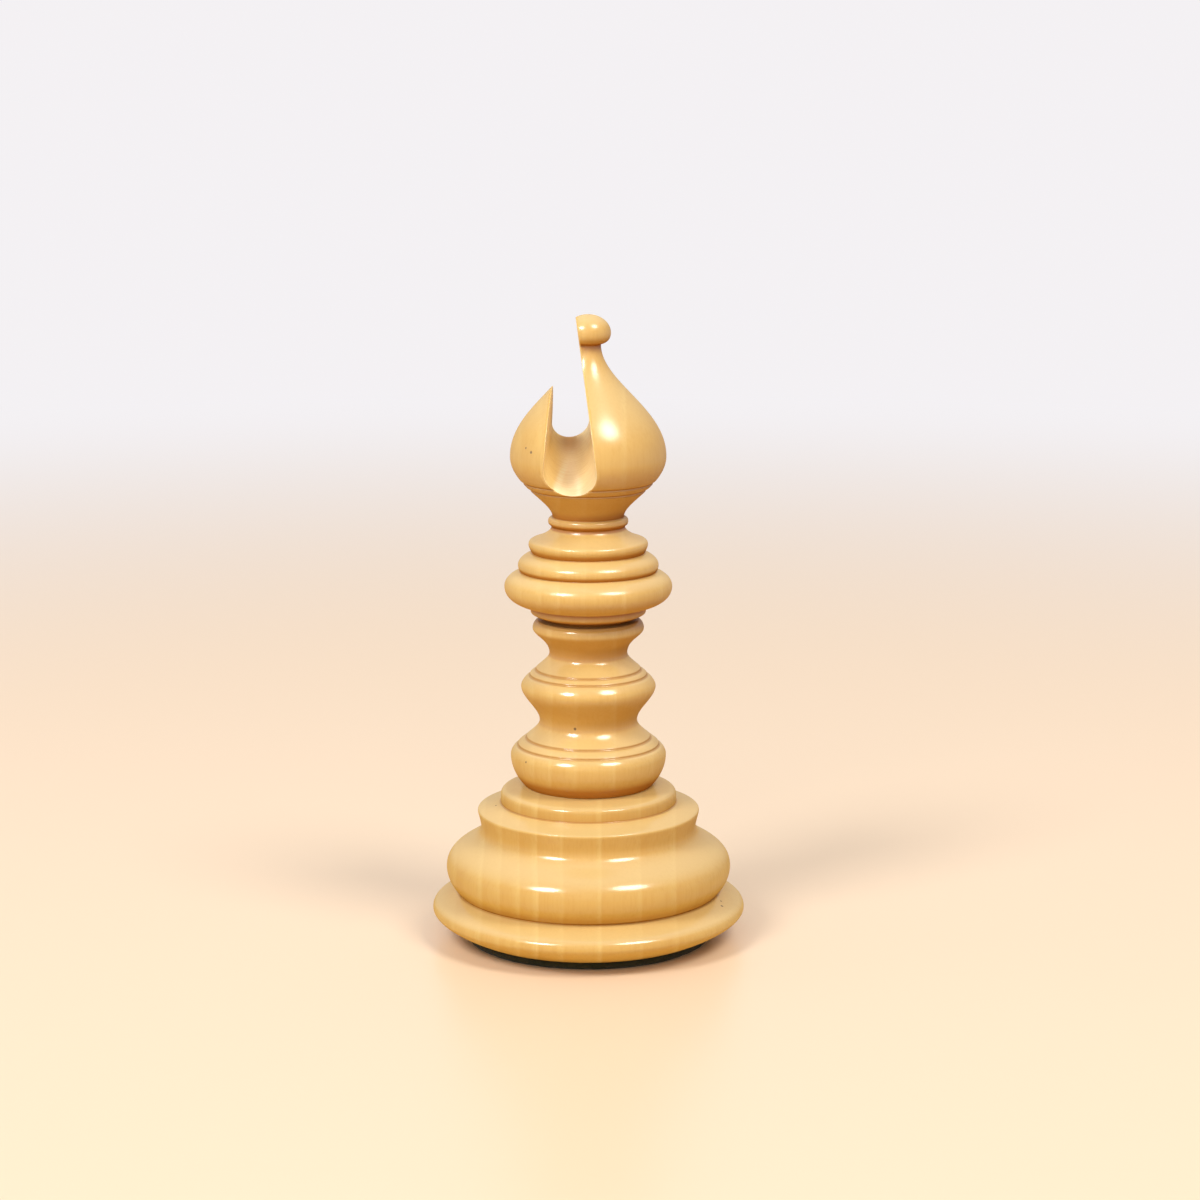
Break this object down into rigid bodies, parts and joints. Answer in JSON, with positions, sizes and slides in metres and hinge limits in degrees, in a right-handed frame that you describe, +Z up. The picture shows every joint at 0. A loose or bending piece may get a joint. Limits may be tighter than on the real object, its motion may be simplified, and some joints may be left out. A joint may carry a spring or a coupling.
{
  "type": "chess bishop",
  "caption": "Turned wooden chess bishop: weighted bell base on a cloth pad, baluster stem, ringed collar and onion-shaped head with an open mitre slot and a ball finial.",
  "frame": {"origin": "middle of the underside of the cloth pad, on the board", "axes": "+Z up along the turning axis; the low end of the mitre slot's floor faces -Y, and the slot lies towards -X of the axis"},
  "size_m": [0.04, 0.04, 0.0799],
  "materials": {
    "boxwood": "honey-coloured boxwood under a clear satin to gloss lacquer",
    "iron": "raw casting, hidden in the foot",
    "baize": "matt pressed wool cloth, very dark green"
  },
  "bodies": {
    "root": {"felt_pad": "baize", "weight_plug": "boxwood", "weight": "iron", "base": "boxwood", "stem": "boxwood", "head": "boxwood"}
  },
  "joints": []
}
